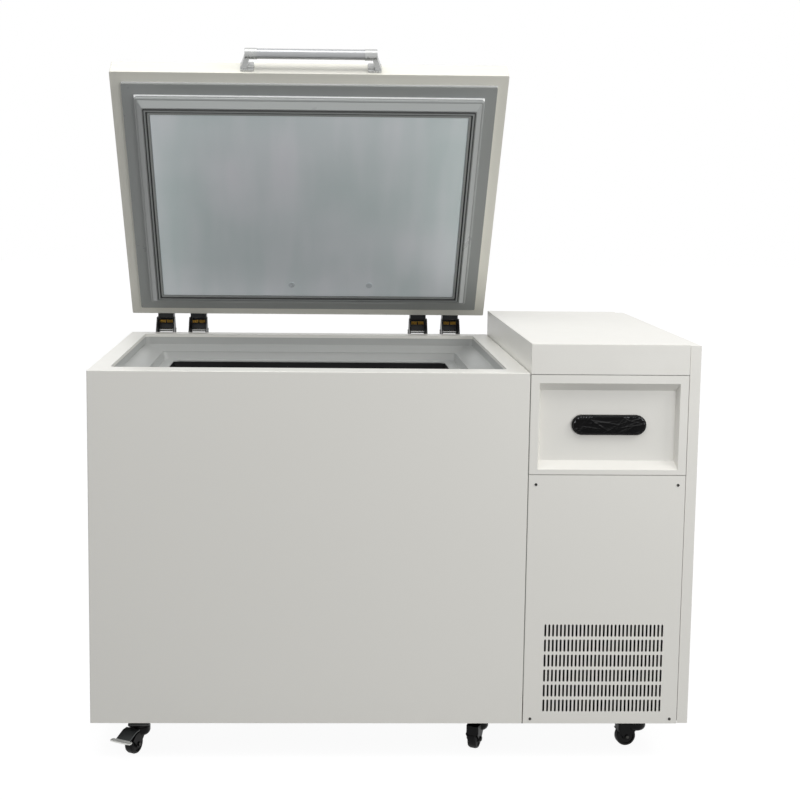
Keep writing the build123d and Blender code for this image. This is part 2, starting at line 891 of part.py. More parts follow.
def fan_motor():
    y0 = fan_y0 + fan_depth
    body = rod((panel_mid_x, y0, fan_z), (panel_mid_x, y0 + motor_l, fan_z), motor_r)
    body = fillet(body.edges().group_by(Axis.Y)[-1], 8.0)
    return body + rod((panel_mid_x, y0 - 26, fan_z), (panel_mid_x, y0, fan_z), shaft_r)


def fan_rotor():
    """Hub with five twisted blades."""
    y0 = fan_y0 + 4
    hub = rod((panel_mid_x, y0, fan_z), (panel_mid_x, y0 + 22, fan_z), hub_big_r)
    blade = Pos(0, 0, 26) * Rectangle(34, 2.2, rotation=-32)
    tip = Pos(0, 0, fan_r - 4) * Rectangle(58, 2.0, rotation=-20)
    blade = loft([blade, tip])
    body = hub
    for i in range(blades):
        turned = Rot(0, 360 / blades * i, 0) * blade
        body += Pos(panel_mid_x, y0 + 11, fan_z) * turned
    return body - rod((panel_mid_x, y0 - 1, fan_z), (panel_mid_x, y0 + 30, fan_z), shaft_r + axle_clear)


def heat_exchanger():
    """Foamed box of the cascade heat exchanger, hung under the top rails at the back."""
    z1 = cover_z0 - rail_top_h
    body = block(bay_x + 60, panel_x1 - 60, depth - 300, depth - 24 - sheet, z1 - 330, z1)
    return fillet(body.edges().filter_by(Axis.Z), 20.0)


def control_box():
    """Box of the controls behind the recessed panel."""
    y0 = recess_depth + sheet
    z1 = recess_z1 - recess_draft_top - 12
    body = block(panel_mid_x - 120, panel_mid_x + 120, y0, y0 + 96, z1 - 150, z1)
    return fillet(body.edges().filter_by(Axis.Y), 8.0)


def filter_drier():
    z = 520.0
    profile = Plane.XZ * Polyline(
        (0, -70), (pipe_r, -70), (pipe_r + 3, -62), (22, -48), (22, 48), (pipe_r + 3, 62), (pipe_r, 70), (0, 70),
        (0, -70),
    )
    return Pos(bay_x + drier_set, drier_y, z) * revolve(make_face(profile), Axis.Z)


def bent_pipe(points, bend, radius):
    """Round copper pipe along straight runs joined by arcs."""
    path = FilletPolyline(*points, radius=bend)
    start = Plane(origin=path @ 0, z_dir=path % 0)
    return sweep(start * Circle(radius), path=path)


comp_top = comp_z0 + 4 + comp_h


def copper_pipes():
    """Discharge, liquid and suction lines of the plant."""
    cond_end = cond_x0 - 6
    y_mid = cond_y0 + cond_d / 2
    pipes = []
    first = [
        (comp_x, comp_ys[0], comp_top), (comp_x, comp_ys[0], comp_top + 60),
        (cond_end - 20, comp_ys[0] - 40, comp_top + 60), (cond_end - 20, y_mid, comp_top - 20),
        (cond_end - 20, y_mid, cond_z0 + cond_h - 20), (cond_end, y_mid, cond_z0 + cond_h - 20),
    ]
    pipes.append(bent_pipe(first, 9.0, pipe_r))
    drier_x = bay_x + drier_set
    hx_x = bay_x + 90
    second = [
        (drier_x, drier_y, 590), (drier_x, drier_y, 700), (hx_x, 400, 700), (hx_x, depth - 300, 700),
    ]
    pipes.append(bent_pipe(second, 12.0, pipe_r - 1))
    third = [
        (comp_x, comp_ys[1], comp_top), (comp_x, comp_ys[1], comp_top + 50),
        (comp_x + 70, comp_ys[1], comp_top + 50), (comp_x + 70, comp_ys[1], cover_z0 - rail_top_h - 330),
    ]
    pipes.append(bent_pipe(third, 14.0, pipe_r))
    return pipes


def power_inlet():
    """Mains inlet on the back: a flanged housing with an open socket and three pins."""
    x = panel_mid_x
    z = inlet_z
    flange = Pos(x, depth, z) * Box(60, 3, 40, align=(Align.CENTER, Align.MIN, Align.CENTER))
    socket = Pos(x, depth + 3, z) * Box(38, 10, 28, align=(Align.CENTER, Align.MIN, Align.CENTER))
    hollow = Pos(x, depth + 2, z) * Box(30, 12, 20, align=(Align.CENTER, Align.MIN, Align.CENTER))
    body = flange + socket - hollow
    for dx in (-9, 0, 9):
        body += Pos(x + dx, depth + 2, z) * Box(2, 9, 6, align=(Align.CENTER, Align.MIN, Align.CENTER))
    return body


# Casters: six, each with its own heading in plan
stems = {
    "front_left": (front_left_stem[0], front_left_stem[1], 243.0),
    "front_middle": (middle_stem_x, bay_stem_y, 245.0),
    "front_right": (right_stem_x, bay_stem_y, 190.0),
    "rear_left": (front_left_stem[0], depth - rear_stem_inset, 60.0),
    "rear_middle": (middle_stem_x, depth - rear_stem_inset, 115.0),
    "rear_right": (right_stem_x, depth - rear_stem_inset, 80.0),
}


def caster_place(name):
    x, y, heading = stems[name]
    return Pos(x, y, 0) * Rot(0, 0, heading)


def caster_mounts():
    """Top plates with the upper half of the ball race, bolted under the frame."""
    bodies = []
    for name in stems:
        x, y, _ = stems[name]
        plate = Pos(x, y, caster_h - plate_t / 2) * Box(plate_size, plate_size, plate_t)
        plate = fillet(plate.edges().filter_by(Axis.Z), 6.0)
        race = Pos(x, y, caster_h - plate_t - race_h / 2) * Cylinder(race_r, race_h)
        bodies.append(plate + race)
    return bodies


def across(u, z, half, radius):
    """Round bar along the axle's direction, at a place in the plane of the wheel."""
    return rod((u, -half, z), (u, half, z), radius)


def fork_cheek():
    """Side plate beside the wheel, narrowing from the hood to the eye round the axle."""
    rear = cheek_rear_u
    front = 2 * trail - rear
    outline = Polyline(
        (rear, hood_low_z + 3), (front, hood_low_z + 3), (front, hood_low_z), (trail + eye_r, wheel_r),
        (trail - eye_r, wheel_r), (rear, hood_low_z), (rear, hood_low_z + 3),
    )
    plate = Pos(0, -leg_in, 0) * extrude(Plane.XZ * make_face(outline), amount=fork_t)
    return plate + rod((trail, -leg_in - fork_t, wheel_r), (trail, -leg_in, wheel_r), eye_r)


def caster_fork(name):
    """Swivelling fork: a round bowl under the ball race, a hood over the wheel, two cheeks and the riveted axle."""
    out = leg_in + fork_t
    height = fork_top_z - hood_low_z
    bowl = Pos(0, 0, fork_top_z) * Cylinder(bowl_r, height, align=(Align.CENTER, Align.CENTER, Align.MAX))
    bowl = fillet(bowl.edges().group_by(Axis.Z)[0], bowl_round)
    if name == "front_left":
        hood = across(trail, wheel_r, out, guard_r)
        hood -= block(-bowl_r, trail + 2 * wheel_r, -out - 1, out + 1, -wheel_r, hood_low_z)
        hood += brake_lugs()
    else:
        hood = block(0, hood_u, -out, out, hood_low_z, fork_top_z)
        corners = hood.edges().filter_by(Axis.Z).group_by(Axis.X)[-1]
        hood = fillet(corners, hood_round)
    body = bowl + hood - across(trail, wheel_r, leg_in, wheel_r + guard_gap)
    cheek = fork_cheek()
    body += cheek + mirror(cheek, Plane.XZ)
    body += across(trail, wheel_r, out + 2, axle_r)
    for side in (-1, 1):
        body += rod((trail, side * out, wheel_r), (trail, side * (out + 3), wheel_r), axle_head_r)
    return caster_place(name) * body


def brake_lugs():
    """Two lugs on the guard with the pin of the brake pedal between them."""
    inner = knuckle_half + lug_clear
    outer = inner + lug_t
    lug = block(pivot_u - lug_r, pivot_u + lug_r, inner, outer, hood_low_z + 4, pivot_z)
    lug += rod((pivot_u, inner, pivot_z), (pivot_u, outer, pivot_z), lug_r)
    return lug + mirror(lug, Plane.XZ) + across(pivot_u, pivot_z, outer, pivot_r)


def caster_wheel(name):
    """Tread with rounded shoulders, dished sides and a bored hub."""
    half = wheel_w / 2
    dish = half - wheel_dish
    bore = axle_r + axle_clear
    rim = wheel_r - 7
    profile = Polyline(
        (bore, -half), (hub_r - 1, -half), (hub_r, -dish), (rim - 1, -dish), (rim, -half),
        (wheel_r - 2, -half + 1.5), (wheel_r, -half + 6), (wheel_r, half - 6), (wheel_r - 2, half - 1.5),
        (rim, half), (rim - 1, dish), (hub_r, dish), (hub_r - 1, half), (bore, half), (bore, -half),
    )
    body = revolve(make_face(profile), Axis.Y)
    return caster_place(name) * Pos(trail, 0, wheel_r) * body


def brake_pedal():
    """Bent sheet pedal with a knuckle on the lug pin and a wide lip for the toe."""
    low = pivot_z + pedal_rise
    top = low + pedal_t
    path = Polyline(
        (pivot_u - pedal_rear, top), (pedal_bend_u, top - 1), (lip_u0, lip_z + 1), (lip_u1, lip_z),
        (lip_u1, lip_z - pedal_t), (lip_u0, lip_z + 1 - pedal_t), (pedal_bend_u - 1, low - 1),
        (pivot_u - pedal_rear, low), (pivot_u - pedal_rear, top),
    )
    plate = extrude(Plane.XZ * make_face(path), amount=pedal_half, both=True)
    lip = block(lip_u0, lip_u1, -lip_half, lip_half, lip_z + 0.5 - pedal_t, lip_z + 0.5)
    lip = fillet(lip.edges().filter_by(Axis.Z), lip_round)
    knuckle = across(pivot_u, pivot_z, knuckle_half, knuckle_r)
    knuckle += block(
        pivot_u - knuckle_r, pivot_u + knuckle_r, -knuckle_half, knuckle_half, pivot_z, low + 1
    )
    bore = across(pivot_u, pivot_z, knuckle_half + 1, pivot_r + axle_clear)
    return caster_place("front_left") * (plate + lip + knuckle - bore)


nodes["chest_wrap"] = chest_wrap()
nodes["chest_back_panel"] = back_panel()
nodes["chest_bottom_pan"] = bottom_pan()
nodes["chest_insulation"] = insulation()
nodes["storage_tank"] = tank()
nodes["cooling_coil"] = cooling_coil()
nodes["rim_collar"] = rim_collar()
nodes["throat_collar"] = throat_collar()
nodes["base_frame"] = base_frame()

nodes["lid_shell"] = swung(lid_shell())
nodes["lid_insulation"] = swung(lid_insulation())
nodes["lid_plug_frame"] = swung(lid_plug_frame())
nodes["lid_gasket"] = swung(lid_gasket())
nodes["lid_inner_panel"] = swung(lid_inner_panel())
nodes["lid_foam_plugs"] = [swung(cap) for cap in foam_plugs()]
nodes["handle_tube"] = swung(tube_run(handle_tube_r))
nodes["handle_brackets"] = [swung(handle_bracket(side)) for side in (-1, 1)]
nodes["handle_screws"] = [swung(cap) for cap in handle_inserts()]

nodes["hinge_bases"] = [hinge_base(x) for x in hinge_xs]
nodes["hinge_leaves"] = [swung(hinge_leaf(x)) for x in hinge_xs]
nodes["hinge_pins"] = [hinge_pin(x) for x in hinge_xs]
nodes["hinge_springs"] = [spring for x in hinge_xs for spring in hinge_springs(x)]
nodes["hinge_base_screws"] = hinge_base_screws()
nodes["hinge_leaf_screws"] = hinge_leaf_screws()

nodes["side_panel"] = side_panel()
nodes["rear_panel"] = rear_panel()
nodes["top_cover"] = top_cover()
nodes["upper_panel"] = upper_panel()
nodes["display_housing"] = display_housing()
nodes["display_lens"] = display_lens()
nodes["vent_panel"] = vent_panel()
nodes["panel_screws"] = panel_screws()
nodes["bay_tray"] = bay_tray()
nodes["bay_frame"] = bay_frame()

nodes["compressor_high_stage"] = compressor(comp_ys[0])
nodes["compressor_low_stage"] = compressor(comp_ys[1])
nodes["compressor_feet"] = compressor_feet()
nodes["condenser"] = condenser()
nodes["fan_shroud"] = fan_shroud()
nodes["fan_motor"] = fan_motor()
nodes["fan_rotor"] = fan_rotor()
nodes["heat_exchanger"] = heat_exchanger()
nodes["control_box"] = control_box()
nodes["filter_drier"] = filter_drier()
nodes["copper_pipes"] = copper_pipes()
nodes["power_inlet"] = power_inlet()

nodes["caster_mounts"] = caster_mounts()
for name in stems:
    nodes["caster_fork_" + name] = caster_fork(name)
    nodes["caster_wheel_" + name] = caster_wheel(name)
nodes["brake_pedal"] = brake_pedal()

# The origin is on the floor under the middle of the whole part
shapes = {}
for node, made in nodes.items():
    solids = []
    for item in (made if isinstance(made, list) else [made]):
        solids += list(item.solids())
    shapes[node] = solids[0] if len(solids) == 1 else Compound(children=solids)

low = [1e9, 1e9]
high = [-1e9, -1e9]
for shape in shapes.values():
    box = shape.bounding_box()
    low = [min(low[0], box.min.X), min(low[1], box.min.Y)]
    high = [max(high[0], box.max.X), max(high[1], box.max.Y)]
origin = Location((-(low[0] + high[0]) / 2, -(low[1] + high[1]) / 2, 0))

for node, shape in shapes.items():
    export_step(shape.moved(origin), "parts/" + node + ".step")
print("origin shift", [round(v, 3) for v in origin.position])
print("hinge axis", round(hinge_y + origin.position.Y, 3), round(hinge_z, 3))
print("fan axis", round(panel_mid_x + origin.position.X, 3), round(fan_z, 3))
for name, (x, y, heading) in stems.items():
    print(name, round(x + origin.position.X, 3), round(y + origin.position.Y, 3), heading)
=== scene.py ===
import json
import math

import bmesh
import bpy
import numpy as np
from mathutils import Matrix, Vector


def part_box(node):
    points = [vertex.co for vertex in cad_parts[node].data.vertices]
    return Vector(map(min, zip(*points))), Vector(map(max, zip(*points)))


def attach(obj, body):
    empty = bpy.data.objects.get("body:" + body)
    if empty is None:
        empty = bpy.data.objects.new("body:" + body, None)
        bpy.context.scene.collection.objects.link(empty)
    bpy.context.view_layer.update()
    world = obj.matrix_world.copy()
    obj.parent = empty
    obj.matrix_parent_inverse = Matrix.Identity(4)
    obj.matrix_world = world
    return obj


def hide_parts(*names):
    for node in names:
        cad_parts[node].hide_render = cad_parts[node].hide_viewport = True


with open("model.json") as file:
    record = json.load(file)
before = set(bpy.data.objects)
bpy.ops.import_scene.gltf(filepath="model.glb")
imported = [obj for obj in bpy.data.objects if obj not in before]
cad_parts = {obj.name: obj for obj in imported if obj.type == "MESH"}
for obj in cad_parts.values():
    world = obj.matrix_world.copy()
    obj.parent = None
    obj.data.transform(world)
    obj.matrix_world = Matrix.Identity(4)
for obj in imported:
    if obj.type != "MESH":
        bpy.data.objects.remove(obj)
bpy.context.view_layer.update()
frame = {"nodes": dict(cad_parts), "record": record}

# Looks of a laboratory chest freezer: an insulated chest with its sprung lid open on the left,
# and a machine compartment with a recessed control panel and a slotted vent panel on the right.
# Lengths are metres in the frame of the solids.

MM = 0.001
nodes = frame["nodes"]
joints = {joint["name"]: joint for joint in frame["record"]["behaviour"]["joints"]}


# Colour given as it is seen on a screen, turned to the linear values that the shaders use
def tint(red, green, blue):
    seen = np.array([red, green, blue], float) / 255
    linear = np.where(seen <= 0.04045, seen / 12.92, ((seen + 0.055) / 1.055) ** 2.4)
    return (*linear.tolist(), 1.0)


# Camera of the photograph
def photo_camera():
    yaw = math.radians(1.303)
    pitch = math.radians(6.415)
    roll = math.radians(-0.554)
    ahead = Vector((math.sin(yaw) * math.cos(pitch), math.cos(yaw) * math.cos(pitch), -math.sin(pitch)))
    right = Vector((math.cos(yaw), -math.sin(yaw), 0))
    down = ahead.cross(right)
    across = math.cos(roll) * right + math.sin(roll) * down
    drop = math.cos(roll) * down - math.sin(roll) * right
    turn = Matrix((across, -drop, -ahead)).transposed()
    data = bpy.data.cameras.new("photo_camera")
    data.lens = 61.10
    data.sensor_width = 36.0
    data.shift_x = 0.0736
    data.shift_y = -0.0828
    camera = bpy.data.objects.new("photo_camera", data)
    camera.matrix_world = Matrix.Translation((-0.2073, -3.7375, 1.4511)) @ turn.to_4x4()
    bpy.context.scene.collection.objects.link(camera)
    bpy.context.scene.camera = camera


# Node helpers
def put(tree, kind, **settings):
    node = tree.nodes.new(kind)
    for key, value in settings.items():
        setattr(node, key, value)
    return node


def feed(tree, socket, value):
    """Links an output socket to an input, or writes a constant into it."""
    if isinstance(value, bpy.types.NodeSocket):
        tree.links.new(value, socket)
    else:
        socket.default_value = value


def sums(tree, operation, a, b=0.0, clamp=False):
    node = put(tree, "ShaderNodeMath", operation=operation, use_clamp=clamp)
    feed(tree, node.inputs[0], a)
    feed(tree, node.inputs[1], b)
    return node.outputs[0]


def spread(tree, value, low, high, to_low, to_high):
    """Maps a value from one range to another, clamped at both ends."""
    node = put(tree, "ShaderNodeMapRange")
    for socket, item in zip(node.inputs, (value, low, high, to_low, to_high)):
        feed(tree, socket, item)
    return node.outputs[0]


def blend_colour(tree, share, first, second, way="MIX"):
    node = put(tree, "ShaderNodeMix", data_type="RGBA", blend_type=way)
    feed(tree, node.inputs[0], share)
    feed(tree, node.inputs[6], first)
    feed(tree, node.inputs[7], second)
    return node.outputs[2]


def noise(tree, vector, scale, detail=2.0, rough=0.5):
    node = put(tree, "ShaderNodeTexNoise")
    feed(tree, node.inputs["Vector"], vector)
    feed(tree, node.inputs["Scale"], scale)
    feed(tree, node.inputs["Detail"], detail)
    feed(tree, node.inputs["Roughness"], rough)
    return node.outputs[0]


def new_group(name, inputs, outputs):
    """Empty shader group with named sockets, and its two end nodes."""
    tree = bpy.data.node_groups.new(name, "ShaderNodeTree")
    for label, kind, value in inputs:
        socket = tree.interface.new_socket(name=label, in_out="INPUT", socket_type=kind)
        socket.default_value = value
    for label, kind in outputs:
        tree.interface.new_socket(name=label, in_out="OUTPUT", socket_type=kind)
    return tree, put(tree, "NodeGroupInput").outputs, put(tree, "NodeGroupOutput").inputs


FLOAT = "NodeSocketFloat"
COLOUR = "NodeSocketColor"
VECTOR = "NodeSocketVector"


def group_tone():
    """Colour drifts lighter and darker over the surface: colour times one plus drift times a soft noise."""
    tree, given, made = new_group(
        "tone_drift",
        [("Color", COLOUR, (0.5, 0.5, 0.5, 1)), ("Drift", FLOAT, 0.05), ("Scale", FLOAT, 3.0)],
        [("Color", COLOUR)],
    )
    place = put(tree, "ShaderNodeTexCoord").outputs["Object"]
    broad = noise(tree, place, given["Scale"], 3.0)
    swing = sums(tree, "MULTIPLY", sums(tree, "SUBTRACT", broad, 0.5), given["Drift"])
    bright = put(tree, "ShaderNodeHueSaturation")
    feed(tree, bright.inputs["Color"], given["Color"])
    feed(tree, bright.inputs["Value"], sums(tree, "ADD", swing, 1.0))
    feed(tree, made["Color"], bright.outputs[0])
    return tree


def group_grain():
    """Two noises, one fine and one five times coarser, on coordinates stretched along an axis."""
    tree, given, made = new_group(
        "surface_grain",
        [("Scale", FLOAT, 800.0), ("Stretch", VECTOR, (1, 1, 1)), ("Coarse", FLOAT, 0.4)],
        [("Height", FLOAT), ("Patch", FLOAT)],
    )
    place = put(tree, "ShaderNodeTexCoord").outputs["Object"]
    along = put(tree, "ShaderNodeVectorMath", operation="MULTIPLY")
    feed(tree, along.inputs[0], place)
    feed(tree, along.inputs[1], given["Stretch"])
    fine = noise(tree, along.outputs[0], given["Scale"], 2.0)
    coarse = noise(tree, along.outputs[0], sums(tree, "MULTIPLY", given["Scale"], 0.2), 2.0)
    share = sums(tree, "MULTIPLY", coarse, given["Coarse"])
    feed(tree, made["Height"], sums(tree, "ADD", fine, share))
    feed(tree, made["Patch"], noise(tree, place, 14.0, 4.0, 0.6))
    return tree


def group_wear():
    """Worn edges: one minus the dot of the rounded and the true normal, broken up by a noise."""
    tree, given, made = new_group(
        "edge_wear", [("Radius", FLOAT, 0.0015), ("Amount", FLOAT, 0.5)], [("Mask", FLOAT)]
    )
    rounded = put(tree, "ShaderNodeBevel", samples=4)
    feed(tree, rounded.inputs["Radius"], given["Radius"])
    dot = put(tree, "ShaderNodeVectorMath", operation="DOT_PRODUCT")
    feed(tree, dot.inputs[0], rounded.outputs[0])
    feed(tree, dot.inputs[1], put(tree, "ShaderNodeNewGeometry").outputs["True Normal"])
    bend = spread(tree, sums(tree, "SUBTRACT", 1.0, dot.outputs["Value"]), 0.02, 0.3, 0.0, 1.0)
    place = put(tree, "ShaderNodeTexCoord").outputs["Object"]
    broken = spread(tree, noise(tree, place, 60.0, 4.0, 0.65), 0.45, 0.62, 0.0, 1.0)
    mask = sums(tree, "MULTIPLY", bend, broken)
    feed(tree, made["Mask"], sums(tree, "MULTIPLY", mask, given["Amount"]))
    return tree


def group_dust():
    """Dust: lies on faces that look up and thickens towards the floor, in soft patches."""
    tree, given, made = new_group(
        "settled_dust", [("Amount", FLOAT, 0.2), ("Reach", FLOAT, 0.15)], [("Mask", FLOAT)]
    )
    place = put(tree, "ShaderNodeTexCoord").outputs["Object"]
    facing = put(tree, "ShaderNodeSeparateXYZ")
    feed(tree, facing.inputs[0], put(tree, "ShaderNodeNewGeometry").outputs["Normal"])
    height = put(tree, "ShaderNodeSeparateXYZ")
    feed(tree, height.inputs[0], place)
    up = spread(tree, facing.outputs["Z"], 0.6, 1.0, 0.0, 0.6)
    low = spread(tree, height.outputs["Z"], 0.0, given["Reach"], 1.0, 0.0)
    patch = spread(tree, noise(tree, place, 22.0, 5.0, 0.6), 0.35, 0.7, 0.2, 1.0)
    both = sums(tree, "MULTIPLY", sums(tree, "MAXIMUM", up, low), patch)
    feed(tree, made["Mask"], sums(tree, "MULTIPLY", both, given["Amount"]))
    return tree


def group_haze_and_reflection():
    """Brushed haze with a painted soft reflection: streaks along the sheet, the brushed grain, and broad soft
    clouds, a painted reflection, mix a second tint into the colour.
    """
    tree, given, made = new_group(
        "brushed_haze",
        [
            ("Color", COLOUR, (0.5, 0.5, 0.5, 1)),
            ("Second", COLOUR, (0.6, 0.6, 0.6, 1)),
            ("Amount", FLOAT, 0.5),
        ],
        [("Color", COLOUR)],
    )
    place = put(tree, "ShaderNodeTexCoord").outputs["Object"]
    along = put(tree, "ShaderNodeVectorMath", operation="MULTIPLY")
    feed(tree, along.inputs[0], place)
    feed(tree, along.inputs[1], (1.0, 0.16, 0.16))
    streaks = spread(tree, noise(tree, along.outputs[0], 13.0, 2.0, 0.4), 0.42, 0.66, 0.0, 1.0)
    # Painted soft reflection: broad clouds of the paler tint
    painted_reflection_clouds = spread(tree, noise(tree, place, 3.1, 2.0, 0.45), 0.36, 0.66, 0.0, 1.0)
    both = sums(tree, "ADD", sums(tree, "MULTIPLY", streaks, 0.35), sums(tree, "MULTIPLY", painted_reflection_clouds, 0.65))
    share = sums(tree, "MULTIPLY", both, given["Amount"])
    feed(tree, made["Color"], blend_colour(tree, share, given["Color"], given["Second"]))
    return tree


def group_reach():
    """Share of one beyond a distance along a direction from the origin, with a soft start."""
    tree, given, made = new_group(
        "beyond_line", [("Direction", VECTOR, (1, 0, 0)), ("Start", FLOAT, 0.0), ("Soft", FLOAT, 0.001)],
        [("Mask", FLOAT)],
    )
    dot = put(tree, "ShaderNodeVectorMath", operation="DOT_PRODUCT")
    feed(tree, dot.inputs[0], put(tree, "ShaderNodeTexCoord").outputs["Object"])
    feed(tree, dot.inputs[1], given["Direction"])
    over = sums(tree, "SUBTRACT", dot.outputs["Value"], given["Start"])
    feed(tree, made["Mask"], sums(tree, "DIVIDE", over, given["Soft"], True))
    return tree


def group_margin():
    """Distance inward from a rectangle's nearer side, for a sheet that lies along x and a slanted line."""
    tree, given, made = new_group(
        "sheet_margin",
        [
            ("Middle", VECTOR, (0, 0, 0)),
            ("Along", VECTOR, (0, 1, 0)),
            ("Wide", FLOAT, 0.5),
            ("Long", FLOAT, 0.4),
        ],
        [("Margin", FLOAT)],
    )
    away = put(tree, "ShaderNodeVectorMath", operation="SUBTRACT")
    feed(tree, away.inputs[0], put(tree, "ShaderNodeTexCoord").outputs["Object"])
    feed(tree, away.inputs[1], given["Middle"])
    dot = put(tree, "ShaderNodeVectorMath", operation="DOT_PRODUCT")
    feed(tree, dot.inputs[0], away.outputs[0])
    feed(tree, dot.inputs[1], given["Along"])
    parts = put(tree, "ShaderNodeSeparateXYZ")
    feed(tree, parts.inputs[0], away.outputs[0])
    side = sums(tree, "SUBTRACT", given["Wide"], sums(tree, "ABSOLUTE", parts.outputs["X"]))
    end = sums(tree, "SUBTRACT", given["Long"], sums(tree, "ABSOLUTE", dot.outputs["Value"]))
    feed(tree, made["Margin"], sums(tree, "MINIMUM", side, end))
    return tree


tone_drift = group_tone()
surface_grain = group_grain()
edge_wear = group_wear()
settled_dust = group_dust()
brushed_haze = group_haze_and_reflection()
beyond_line = group_reach()
sheet_margin = group_margin()


def use(tree, group, **values):
    node = put(tree, "ShaderNodeGroup", node_tree=group)
    for key, value in values.items():
        feed(tree, node.inputs[key.capitalize()], value)
    return node.outputs


def finish_of(name, colour, rough, metal=0.0, drift=0.05, drift_scale=3.0, grain=800.0, stretch=(1, 1, 1),
              bump=0.1, depth=0.0001, rough_swing=0.08, wear=0.0, bare=(150, 150, 148), radius=0.0012,
              dust=0.0, reach=0.15, coat=0.0, specular=0.5, haze_and_reflection=None):
    """Surface finish: drifting colour, brushed haze with a painted soft reflection, worn edges, dust, and grain
    in the bump and the roughness.
    """
    material = bpy.data.materials.new(name)
    material.use_nodes = True
    tree = material.node_tree
    shader = tree.nodes["Principled BSDF"]
    shader.inputs["Metallic"].default_value = metal
    shader.inputs["Coat Weight"].default_value = coat
    shader.inputs["Coat Roughness"].default_value = 0.08
    shader.inputs["Specular IOR Level"].default_value = specular
    body = use(tree, tone_drift, color=tint(*colour), drift=drift, scale=drift_scale)["Color"]
    texture = use(tree, surface_grain, scale=grain, stretch=stretch)
    if haze_and_reflection:
        body = use(tree, brushed_haze, color=body, second=tint(*haze_and_reflection), amount=1.0)["Color"]
    if wear:
        mask = use(tree, edge_wear, radius=radius, amount=wear)["Mask"]
        body = blend_colour(tree, mask, body, tint(*bare))
    if dust:
        mask = use(tree, settled_dust, amount=dust, reach=reach)["Mask"]
        body = blend_colour(tree, mask, body, tint(158, 154, 146))
    feed(tree, shader.inputs["Base Color"], body)
    uneven = spread(tree, texture["Patch"], 0.3, 0.7, max(rough - rough_swing, 0.02), rough + rough_swing)
    feed(tree, shader.inputs["Roughness"], uneven)
    relief = put(tree, "ShaderNodeBump")
    relief.inputs["Strength"].default_value = bump
    relief.inputs["Distance"].default_value = depth
    feed(tree, relief.inputs["Height"], texture["Height"])
    feed(tree, shader.inputs["Normal"], relief.outputs[0])
    return material


# Surface finishes, one for each kind of surface
white_enamel = finish_of("white_enamel", (240, 238, 232), 0.36, drift=0.025, drift_scale=1.4, grain=420.0,
                         bump=0.08, depth=0.00006, rough_swing=0.03, wear=0.3, bare=(196, 194, 188),
                         dust=0.05, reach=0.2)
lid_enamel = finish_of("lid_enamel", (240, 238, 228), 0.34, drift=0.03, drift_scale=2.0, grain=420.0,
                       bump=0.08, depth=0.00006, rough_swing=0.03, wear=0.25, bare=(196, 194, 186))
collar_plastic = finish_of("collar_plastic", (186, 187, 185), 0.36, drift=0.03, drift_scale=3.0, grain=1100.0,
                           bump=0.05, depth=0.00004, rough_swing=0.015, coat=0.06)
plug_satin = finish_of("plug_satin", (152, 155, 154), 0.3, drift=0.05, drift_scale=4.0, grain=1000.0, bump=0.08,
                       depth=0.00005, rough_swing=0.03, wear=0.2, bare=(196, 196, 192), coat=0.35)
gasket_rubber = finish_of("gasket_rubber", (44, 45, 45), 0.6, drift=0.2, drift_scale=20.0, grain=1500.0,
                          bump=0.15, depth=0.00008, dust=0.1, reach=0.01)
# Lid liner: its paler tint in soft clouds is a painted reflection, and in streaks the brushed grain
lid_liner = finish_of("lid_liner", (222, 234, 235), 0.34, metal=0.15, drift=0.05, drift_scale=1.6, grain=260.0,
                      stretch=(1, 0.02, 0.02), bump=0.03, depth=0.00004, rough_swing=0.012,
                      haze_and_reflection=(248, 250, 255))
liner_cap = finish_of("liner_cap", (214, 220, 224), 0.3, metal=0.2, drift=0.2, drift_scale=90.0, grain=900.0)
# Storage tank coloured near black: painted shade of the chest's deep, unlit inside
tank_steel = finish_of("tank_steel", (26, 26, 27), 0.5, metal=0.3, drift=0.2, drift_scale=4.0, grain=500.0,
                       stretch=(0.05, 0.05, 1), bump=0.1, depth=0.00005)
polished_tube = finish_of("polished_tube", (178, 179, 181), 0.2, metal=0.35, drift=0.05, drift_scale=9.0,
                          grain=900.0, stretch=(0.03, 1, 1), bump=0.06, depth=0.00004, rough_swing=0.06)
cast_silver = finish_of("cast_silver", (186, 187, 186), 0.3, metal=0.45, drift=0.1, drift_scale=30.0,
                        grain=1400.0, bump=0.3, depth=0.0001, wear=0.5, bare=(215, 215, 212))
zinc_screw = finish_of("zinc_screw", (176, 174, 166), 0.3, metal=1.0, drift=0.12, drift_scale=60.0,
                       grain=2200.0, bump=0.15, depth=0.00004, wear=0.3, bare=(225, 224, 220))
dark_screw = finish_of("dark_screw", (58, 57, 55), 0.38, metal=0.8, drift=0.15, drift_scale=60.0,
                       grain=2200.0, bump=0.15, depth=0.00004, wear=0.5, bare=(160, 158, 150))
hinge_black = finish_of("hinge_black", (32, 32, 33), 0.36, metal=0.3, drift=0.15, drift_scale=25.0,
                        grain=1600.0, bump=0.25, depth=0.00008, wear=1.0, bare=(184, 180, 174), radius=0.0016)
spring_gold = finish_of("spring_gold", (236, 188, 84), 0.3, metal=0.6, drift=0.12, drift_scale=50.0,
                        grain=2000.0, bump=0.12, depth=0.00004)
pin_steel = finish_of("pin_steel", (188, 188, 186), 0.24, metal=1.0, drift=0.08, drift_scale=50.0,
                      grain=1800.0, stretch=(0.05, 1, 1), bump=0.1, depth=0.00004)
module_black = finish_of("module_black", (9, 9, 10), 0.36, drift=0.2, drift_scale=30.0, grain=1800.0,
                         bump=0.15, depth=0.00006, specular=0.15)
caster_black = finish_of("caster_black", (9, 9, 10), 0.34, drift=0.2, drift_scale=30.0, grain=1400.0,
                         bump=0.15, depth=0.00006, wear=0.25, bare=(70, 70, 68), dust=0.02, reach=0.05,
                         specular=0.12)
